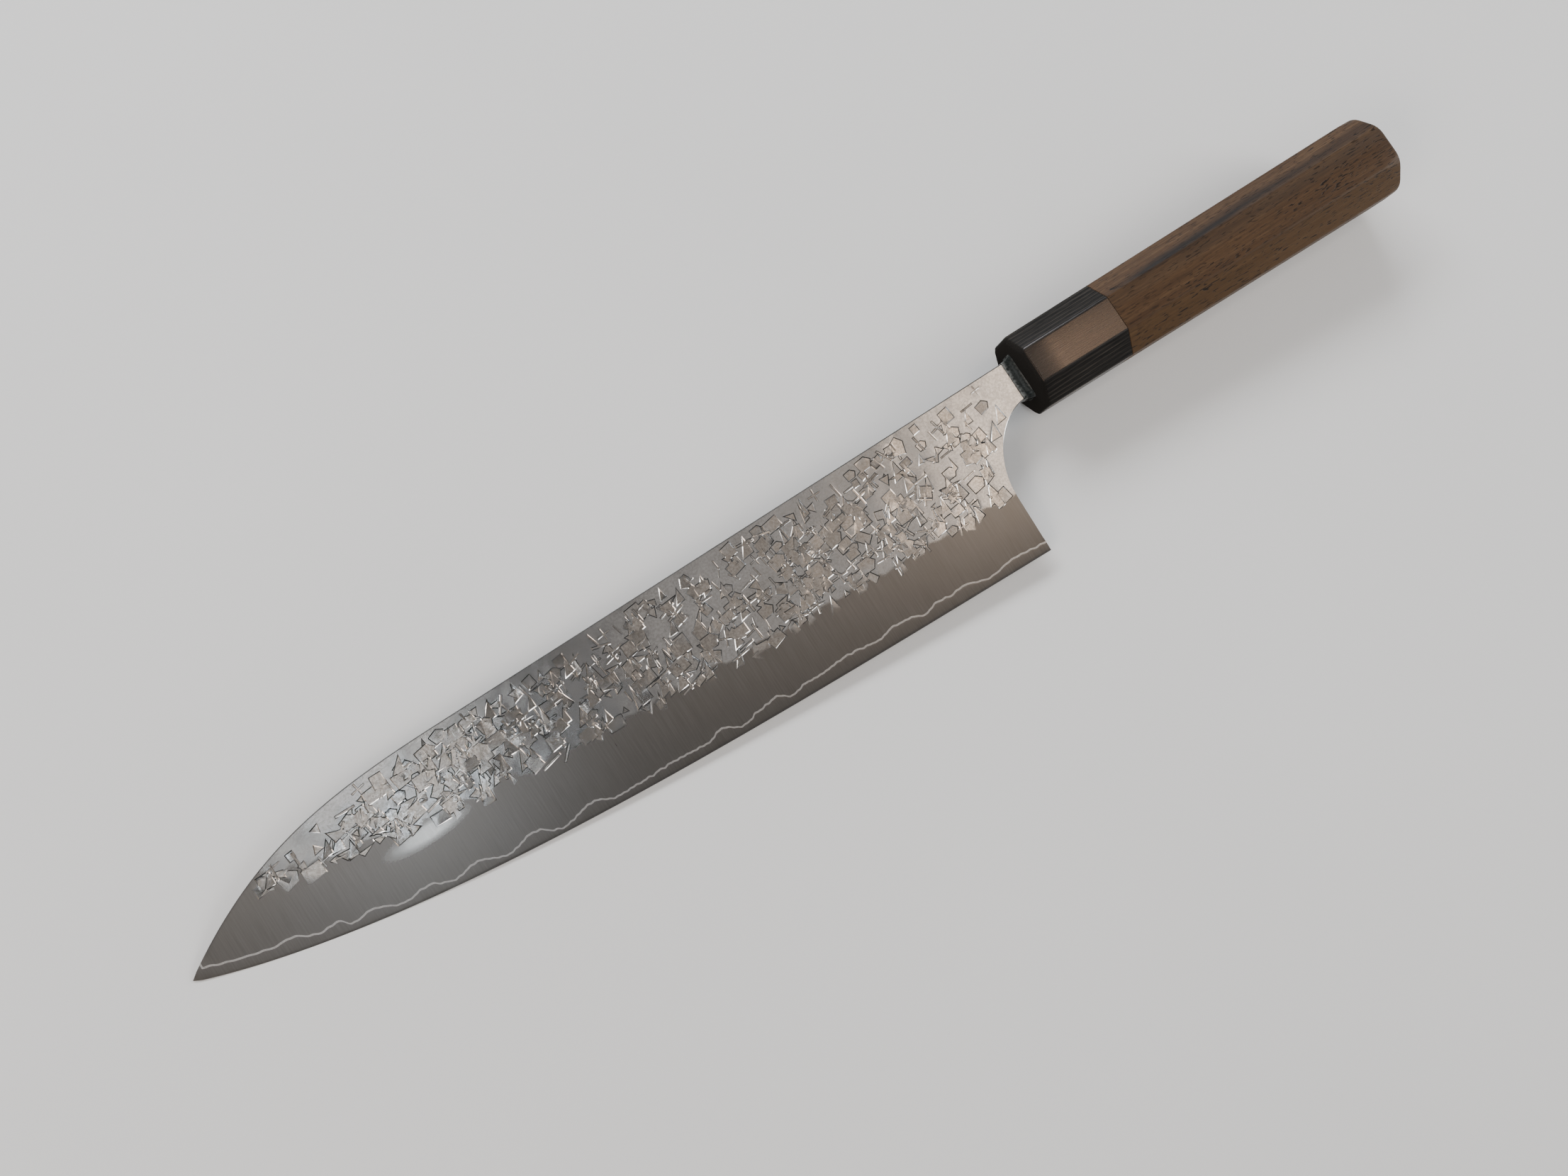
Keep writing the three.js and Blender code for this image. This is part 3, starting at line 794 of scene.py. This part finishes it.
def handle_body(material):
    front = FERRULE_LENGTH + GLUE_GAP
    like = octagon_ring(front, 0)
    rings = [
        loop_inside(BORE_END, BORE_RADIUS, BORE_RADIUS, 1, like),
        loop_inside(front, BORE_RADIUS, BORE_RADIUS, 1, like),
        octagon_ring(front, EASED_INSET),
        octagon_ring(front + EASED_EDGE, 0),
    ]
    for x in np.linspace(front + 8, HANDLE_LENGTH - 8, 8):
        rings.append(octagon_ring(x, 0))
    for turn in np.linspace(0, np.pi / 2, 9):
        inset = BUTT_ROUNDING * (1 - math.cos(turn))
        rings.append(butt_ring(inset, BUTT_ROUNDING * (1 - math.sin(turn))))
    for inset in (2, 3, 4.5, 6.5, 8.5):
        rings.append(butt_ring(inset, 0))
    points = np.concatenate(rings)
    faces = facing_out(points, loft_faces(len(rings), RING_SIZE))
    return piece(
        "walnut_body", points, faces, "handle_body", material, HANDLE_SHARPNESS
    )


def mouth_seal(material):
    """A hand-laid bead of resin round the neck, widest against the ferrule and fuller below."""
    sides = 64
    steps = 12
    middle = (SPINE_AT_FERRULE + NECK_BOTTOM) / 2
    half_height = (SPINE_AT_FERRULE - NECK_BOTTOM) / 2
    angle = 2 * np.pi * (np.arange(sides) + 0.5) / sides
    lumps = 0.09 * waves(angle * 6, 8, 5) - 0.14 * np.sin(angle)

    def ring(x, flare, power):
        y = np.sign(np.sin(angle)) * np.abs(np.sin(angle)) ** power
        z = np.sign(np.cos(angle)) * np.abs(np.cos(angle)) ** power
        return np.column_stack([
            np.full(sides, x),
            middle + (half_height + flare) * y,
            (NECK_HALF + flare) * z,
        ])

    rings = []
    for along in np.linspace(0, 1, steps):
        flare = 0.07 + 0.25 * along + 0.75 * along**3
        x = -SEAL_LENGTH + (SEAL_LENGTH - GLUE_GAP) * along
        rings.append(ring(x, flare + lumps * math.sin(np.pi * along), 0.1 + 0.14 * along))
    rings.append(ring(-GLUE_GAP, GLUE_GAP, 0.06))
    rings.append(ring(-SEAL_LENGTH, GLUE_GAP, 0.06))
    points = np.concatenate(rings)
    faces = facing_out(points, loft_faces(len(rings), sides, closed=True))
    return piece("neck_resin_bead", points, faces, "mouth_seal", material)


# ---------------------------------------------------------------- materials

class Shader:
    """A node material whose colours and heights are built up by short calls."""

    def __init__(self, name):
        self.material = bpy.data.materials.new(name)
        self.material.use_nodes = True
        self.tree = self.material.node_tree
        self.surface = self.tree.nodes["Principled BSDF"]

    def add(self, kind, **settings):
        node = self.tree.nodes.new(kind)
        for key, value in settings.items():
            setattr(node, key, value)
        return node

    def feed(self, socket, value):
        if isinstance(value, bpy.types.NodeSocket):
            self.tree.links.new(value, socket)
        else:
            socket.default_value = value

    def in_knife(self):
        """Coordinates in the knife's own frame, in metres."""
        back = KNIFE_TO_ROW.inverted()
        place = self.add("ShaderNodeTexCoord")
        mapping = self.add("ShaderNodeMapping")
        self.feed(mapping.inputs["Vector"], place.outputs["Object"])
        mapping.inputs["Rotation"].default_value = back.to_euler()
        mapping.inputs["Location"].default_value = back.to_translation()
        return mapping.outputs["Vector"]

    def coordinates(self, scale):
        """The knife's coordinates, stretched: the scale is in bumps per millimetre for each axis."""
        mapping = self.add("ShaderNodeMapping")
        self.feed(mapping.inputs["Vector"], self.in_knife())
        mapping.inputs["Scale"].default_value = [1000 * value for value in scale]
        return mapping.outputs["Vector"]

    def axis(self, name):
        """One of the knife's coordinates, in millimetres."""
        split = self.add("ShaderNodeSeparateXYZ")
        self.feed(split.inputs[0], self.in_knife())
        return self.maths("MULTIPLY", split.outputs[name], 1000)

    def noise(self, scale, detail=4, roughness=0.55, distortion=0):
        node = self.add("ShaderNodeTexNoise")
        self.feed(node.inputs["Vector"], self.coordinates(scale))
        node.inputs["Scale"].default_value = 1
        node.inputs["Detail"].default_value = detail
        node.inputs["Roughness"].default_value = roughness
        node.inputs["Distortion"].default_value = distortion
        return node.outputs["Fac"]

    def attribute(self, name):
        return self.add("ShaderNodeAttribute", attribute_name=name).outputs["Fac"]

    def maths(self, operation, a, b=0.0):
        node = self.add("ShaderNodeMath", operation=operation)
        self.feed(node.inputs[0], a)
        self.feed(node.inputs[1], b)
        return node.outputs[0]

    def spread(self, value, low, high, to_low=0.0, to_high=1.0):
        """A value carried from one range to another and held inside it."""
        node = self.add("ShaderNodeMapRange", clamp=True)
        self.feed(node.inputs["Value"], value)
        ends = (("From Min", low), ("From Max", high), ("To Min", to_low), ("To Max", to_high))
        for key, number in ends:
            node.inputs[key].default_value = number
        return node.outputs["Result"]

    def blend(self, share, a, b):
        node = self.add("ShaderNodeMix", data_type="RGBA")
        self.feed(node.inputs["Factor"], share)
        self.feed(node.inputs[6], a)
        self.feed(node.inputs[7], b)
        return node.outputs[2]

    def bump(self, height, distance, strength=1.0, under=None):
        """Surface relief: the distance is how high a full bump stands, in millimetres."""
        node = self.add("ShaderNodeBump")
        node.inputs["Strength"].default_value = strength
        node.inputs["Distance"].default_value = distance / 1000
        self.feed(node.inputs["Height"], height)
        if under is not None:
            self.feed(node.inputs["Normal"], under)
        return node.outputs["Normal"]

    def finish(self, color, roughness, metallic=0.0, normal=None, shine=0.5, tint=(1, 1, 1, 1)):
        self.feed(self.surface.inputs["Base Color"], color)
        self.feed(self.surface.inputs["Roughness"], roughness)
        self.feed(self.surface.inputs["Specular IOR Level"], shine)
        self.feed(self.surface.inputs["Specular Tint"], tint)
        self.surface.inputs["Metallic"].default_value = metallic
        if normal is not None:
            self.feed(self.surface.inputs["Normal"], normal)
        return self.material


def grey(value, warmth=0.0):
    return (value * (1 + warmth), value, value * (1 - warmth), 1)


# Where the bevel was rubbed bright, just under the hammered face.
POLISHED_SPOT = (-197, -17.2)
POLISHED_REACH = (13, 3.2)


def cladding_steel():
    """Bright hammered steel above, with painted shade along the rims of the dents, and a satin bevel ground
    across the blade below.
    """
    shader = Shader("cladding_steel")
    ground = shader.attribute("ground")
    pit = shader.attribute("pit")
    fine = shader.noise((7, 0.25, 0.5), detail=3)
    broad = shader.noise((2.6, 0.09, 0.2), detail=4)
    cloud = shader.noise((0.05, 0.08, 0.1), detail=5)
    speck = shader.noise((1.6, 1.6, 1.6), detail=5)
    satin = shader.blend(shader.spread(broad, 0.2, 0.8), grey(0.165, 0.09), grey(0.21, 0.07))
    land = shader.blend(shader.spread(speck, 0.4, 0.62), grey(0.36, 0.01), grey(0.32, 0.02))
    hollow = shader.blend(shader.spread(speck, 0.38, 0.6), grey(0.35, 0.07), grey(0.28, 0.1))
    hammered = shader.blend(shader.spread(pit, 0.25, 0.85), land, hollow)
    # Painted shade: a near-black band just inside each dent's rim stands for the dark reflections on the
    # dents' walls.
    wall = shader.maths("MULTIPLY", shader.spread(pit, 0.01, 0.1), shader.spread(pit, 0.2, 0.32, 1, 0))
    hammered = shader.blend(wall, hammered, grey(0.05, 0.1))
    color = shader.blend(ground, hammered, satin)
    color = shader.blend(shader.spread(cloud, 0.45, 0.7, 0, 0.3), color, grey(0.17, 0.1))
    smooth = shader.spread(speck, 0.3, 0.7, 0.18, 0.24)
    brushed = shader.spread(broad, 0.2, 0.8, 0.27, 0.33)
    roughness = shader.maths("MAXIMUM", smooth, shader.maths("MULTIPLY", brushed, ground))
    squares = []
    for axis, middle, reach in zip("XY", POLISHED_SPOT, POLISHED_REACH):
        offset = shader.maths("SUBTRACT", shader.axis(axis), middle)
        squares.append(shader.maths("POWER", shader.maths("DIVIDE", offset, reach), 2))
    away = shader.maths("ADD", *squares)
    polished = shader.maths("MULTIPLY", shader.spread(away, 0.15, 1, 1, 0), ground)
    roughness = shader.blend(polished, roughness, (0.17, 0.17, 0.17, 1))
    relief = shader.bump(fine, 0.003, 0.4)
    relief = shader.bump(speck, 0.002, 0.1, relief)
    return shader.finish(color, roughness, 1.0, relief)


def core_steel():
    shader = Shader("core_steel")
    fine = shader.noise((9, 0.3, 0.5), detail=3)
    broad = shader.noise((2.9, 0.15, 0.3), detail=4)
    color = shader.blend(shader.spread(broad, 0.2, 0.8), grey(0.165, 0.09), grey(0.21, 0.07))
    roughness = shader.spread(broad, 0.2, 0.8, 0.29, 0.34)
    return shader.finish(color, roughness, 1.0, shader.bump(fine, 0.002, 0.4))


def nickel():
    shader = Shader("nickel")
    fine = shader.noise((5, 1, 1), detail=3)
    color = shader.blend(shader.spread(fine, 0.3, 0.7), grey(0.42, 0.06), grey(0.55, 0.04))
    return shader.finish(color, shader.spread(fine, 0.3, 0.7, 0.34, 0.46), 1.0, shader.bump(fine, 0.003))


def black_laminate():
    """Thin dark veneers pressed together, which show as lengthwise stripes."""
    shader = Shader("black_laminate")
    wander = shader.noise((0.03, 0.25, 0.25), detail=3)
    across = shader.maths("ADD", shader.axis("Y"), shader.maths("MULTIPLY", wander, 0.8))
    wave = shader.maths("SINE", shader.maths("MULTIPLY", across, 2 * math.pi / 1.02))
    stripe = shader.spread(wave, 0.45, 0.98)
    grain = shader.noise((0.16, 5, 5), detail=5, roughness=0.6)
    patches = shader.noise((0.06, 0.3, 0.3), detail=4)
    ink = shader.blend(shader.spread(grain, 0.35, 0.7), grey(0.009, 0.03), grey(0.022, 0.1))
    pale = shader.blend(shader.spread(patches, 0.35, 0.65), grey(0.022, 0.1), grey(0.05, 0.15))
    from_middle = shader.maths("ABSOLUTE", shader.axis("Y"))
    behind_front = shader.spread(shader.axis("X"), 0.7, 1.3)
    on_slants = shader.spread(from_middle, 4.8, 5.6, 0.12, 0.75)
    shown = shader.maths("MULTIPLY", shader.maths("MULTIPLY", stripe, on_slants), behind_front)
    color = shader.blend(shown, ink, pale)
    roughness = shader.spread(grain, 0.3, 0.7, 0.22, 0.32)
    relief = shader.bump(grain, 0.02, 0.5)
    shine = shader.maths("MULTIPLY", shader.spread(from_middle, 4.8, 5.6, 1, 0.05), behind_front)
    tint = shader.blend(on_slants, (1, 0.72, 0.52, 1), (0.7, 0.82, 1, 1))
    return shader.finish(color, roughness, 0.0, relief, shine, tint)


def walnut():
    """Brown heartwood with fine lengthwise grain, pores and one dark slanting streak."""
    shader = Shader("walnut")
    x = shader.axis("X")
    y = shader.axis("Y")
    fibre = shader.noise((0.05, 1.9, 1.9), detail=6, roughness=0.62)
    fine = shader.noise((0.2, 8, 8), detail=4, roughness=0.6)
    rings = shader.noise((0.012, 0.42, 0.3), detail=4, roughness=0.5, distortion=0.6)
    pores = shader.noise((0.4, 2.5, 2.5), detail=1, roughness=0.3)
    pored = shader.noise((0.03, 0.16, 0.16), detail=2)
    dark = (0.064, 0.033, 0.015, 1)
    warm = shader.blend(shader.spread(rings, 0.3, 0.7), dark, (0.115, 0.066, 0.033, 1))
    color = shader.blend(shader.spread(fibre, 0.35, 0.68, 0, 0.75), warm, (0.038, 0.02, 0.011, 1))
    color = shader.blend(shader.spread(fine, 0.42, 0.7, 0, 0.55), color, (0.026, 0.014, 0.009, 1))
    climb = shader.maths("MULTIPLY", shader.maths("SUBTRACT", x, 40), 0.025)
    wander = shader.maths("MULTIPLY", shader.noise((0.03, 0.3, 0.3), detail=4), 3.4)
    slant = shader.maths("ADD", shader.maths("SUBTRACT", y, climb), wander)
    off_streak = shader.maths("ABSOLUTE", shader.maths("SUBTRACT", slant, 7.6))
    streak = shader.spread(off_streak, 0.3, 2.1, 1, 0)
    streak = shader.maths("MULTIPLY", streak, shader.spread(x, 33, 44, 0.1, 0.95))
    streak = shader.maths("MULTIPLY", streak, shader.spread(x, 78, 125, 1, 0.5))
    ashen = shader.spread(slant, 7.2, 3.2, 0.0, 0.5)
    ashen = shader.maths("MULTIPLY", ashen, shader.spread(y, 0.5, 5))
    color = shader.blend(ashen, color, (0.05, 0.042, 0.035, 1))
    color = shader.blend(streak, color, (0.011, 0.009, 0.009, 1))
    golden = shader.spread(y, -5.2, -6.2, 0, 0.4)
    color = shader.blend(golden, color, (0.088, 0.048, 0.017, 1))
    crowded = shader.spread(pored, 0.35, 0.6, 0.35, 0.95)
    pore = shader.maths("MULTIPLY", shader.spread(pores, 0.6, 0.66), crowded)
    color = shader.blend(pore, color, (0.01, 0.006, 0.004, 1))
    roughness = shader.spread(fibre, 0.3, 0.7, 0.42, 0.55)
    relief = shader.bump(shader.maths("MULTIPLY", pore, -1), 0.06, 0.7)
    relief = shader.bump(fine, 0.02, 0.4, relief)
    return shader.finish(color, roughness, 0.0, relief, 0.12)


def beech():
    shader = Shader("beech")
    fibre = shader.noise((0.1, 3, 3), detail=5)
    flecks = shader.noise((0.6, 4, 4), detail=2)
    pale = shader.blend(shader.spread(fibre, 0.3, 0.7), (0.52, 0.33, 0.17, 1), (0.63, 0.43, 0.25, 1))
    color = shader.blend(shader.spread(flecks, 0.6, 0.72), pale, (0.33, 0.19, 0.09, 1))
    return shader.finish(color, shader.spread(fibre, 0.3, 0.7, 0.6, 0.75), 0.0, shader.bump(fibre, 0.03))


def cured_resin():
    shader = Shader("cured_resin")
    bubbles = shader.noise((1.5, 1.5, 1.5), detail=3)
    color = shader.blend(shader.spread(bubbles, 0.3, 0.7), (0.6, 0.52, 0.33, 1), (0.72, 0.66, 0.48, 1))
    return shader.finish(color, shader.spread(bubbles, 0.3, 0.7, 0.2, 0.4), 0.0, shader.bump(bubbles, 0.05))


def clear_resin():
    shader = Shader("clear_resin")
    resin_speckle = shader.noise((1.2, 1.2, 1.2), detail=5)
    # The near-black colour is painted dark reflection: it stands for the ferrule mirrored in the neck's
    # steel under the clear resin. The pale flecks towards the blade end are painted glints, with some
    # whitish residue.
    glint_and_residue_reach = shader.spread(shader.axis("X"), -3.1, -1.9, 0.75, 0.04)
    pale = shader.maths("MULTIPLY", glint_and_residue_reach, shader.spread(resin_speckle, 0.38, 0.58))
    color = shader.blend(pale, (0.012, 0.015, 0.014, 1), (0.26, 0.27, 0.26, 1))
    return shader.finish(color, shader.spread(resin_speckle, 0.3, 0.7, 0.18, 0.34), 0.0, shader.bump(resin_speckle, 0.06), 0.3)


def pale_floor():
    shader = Shader("pale_floor")
    broad = shader.noise((0.004, 0.004, 0.004), detail=3)
    fine = shader.noise((0.8, 0.8, 0.8), detail=4)
    color = shader.blend(shader.spread(broad, 0.3, 0.7), grey(0.74, 0.004), grey(0.78, 0.004))
    return shader.finish(color, shader.spread(fine, 0.3, 0.7, 0.7, 0.85), 0.0, shader.bump(fine, 0.02, 0.2))


# ---------------------------------------------------------------- assembly

steel = cladding_steel()
foil_metal = nickel()
cladding(1, 11, "left_hammered_cladding", "left_cladding", steel)
cladding(-1, 47, "right_hammered_cladding", "right_cladding", steel)
foil(1, "left_nickel_line", "left_nickel_foil", foil_metal)
foil(-1, "right_nickel_line", "right_nickel_foil", foil_metal)
core("honed_core", "blade_core", core_steel())
ferrule(black_laminate())
handle_body(walnut())
mouth_seal(clear_resin())

for node_name, material in (("joining_dowel", beech()), ("tang_adhesive", cured_resin())):
    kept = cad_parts[node_name]
    kept.data.materials.clear()
    kept.data.materials.append(material)


# ---------------------------------------------------------------- studio

def floor():
    mesh = bpy.data.meshes.new("studio_floor")
    reach = 6
    corners = [(-reach, -reach, 0), (reach, -reach, 0), (reach, reach, 0), (-reach, reach, 0)]
    mesh.from_pydata(corners, [], [(0, 1, 2, 3)])
    mesh.materials.append(pale_floor())
    made = bpy.data.objects.new("studio_floor", mesh)
    bpy.context.scene.collection.objects.link(made)


def aimed(made, at, target, up):
    """Puts a lamp or camera in place, looking at the target with the given way up."""
    back = (Vector(at) - Vector(target)).normalized()
    right = Vector(up).cross(back).normalized()
    rotation = Matrix([right, back.cross(right), back]).transposed()
    made.matrix_world = Matrix.Translation(at) @ rotation.to_4x4()
    bpy.context.scene.collection.objects.link(made)


def softbox(name, at, size, watts, color):
    lamp = bpy.data.lights.new(name, "AREA")
    lamp.shape = "RECTANGLE"
    lamp.size = size[0]
    lamp.size_y = size[1]
    lamp.energy = watts
    lamp.color = color
    aimed(bpy.data.objects.new(name, lamp), at, (0, 0, 0), (0, 1, 0))


CAMERA_AT = (-0.1184, -0.05485, 0.33063)
CAMERA_TARGET = (-0.02727, 0.00269, 0)
CAMERA_UP = (0.51626, 0.80833, 0.28297)
LENS = 29.97
SENSOR_WIDTH = 36


def camera():
    lens = bpy.data.cameras.new("camera")
    lens.lens = LENS
    lens.sensor_width = SENSOR_WIDTH
    lens.clip_start = 0.01
    made = bpy.data.objects.new("camera", lens)
    aimed(made, CAMERA_AT, CAMERA_TARGET, CAMERA_UP)
    bpy.context.scene.camera = made


def sky():
    """Even light from all round, brightest at the horizon and dim overhead."""
    world = bpy.data.worlds.new("studio")
    world.use_nodes = True
    tree = world.node_tree
    place = tree.nodes.new("ShaderNodeTexCoord")
    split = tree.nodes.new("ShaderNodeSeparateXYZ")
    fade = tree.nodes.new("ShaderNodeMapRange")
    tree.links.new(place.outputs["Generated"], split.inputs[0])
    tree.links.new(split.outputs["Z"], fade.inputs["Value"])
    for key, number in (("From Min", 0.15), ("From Max", 0.8), ("To Min", 0.6), ("To Max", 0.105)):
        fade.inputs[key].default_value = number
    background = tree.nodes["Background"]
    background.inputs["Color"].default_value = (0.9, 0.95, 1, 1)
    tree.links.new(fade.outputs["Result"], background.inputs["Strength"])
    bpy.context.scene.world = world


floor()
softbox("key_softbox", (0.58, -0.1, 1.15), (0.2, 0.4), 1.15, (1, 0.82, 0.66))
softbox("back_softbox", (0.1, 1.25, 0.8), (1.5, 0.4), 27, (0.96, 0.98, 1))
softbox("side_softbox", (1.6, -0.6, 0.7), (0.6, 0.8), 24, (1, 0.99, 0.97))
softbox("low_softbox", (-1.1, -0.3, 0.7), (0.4, 0.7), 8, (1, 0.88, 0.78))
softbox("middle_softbox", (0.24, -0.1, 1.15), (0.5, 0.36), 0.4, (1, 0.93, 0.87))
softbox("tip_softbox", (-0.36, 0.04, 1.15), (0.36, 0.2), 0.55, (1, 0.97, 0.94))
softbox("glint_lamp", (-0.269, -0.156, 1.1), (0.1, 0.06), 0.3, (0.8, 0.9, 1))
camera()
sky()
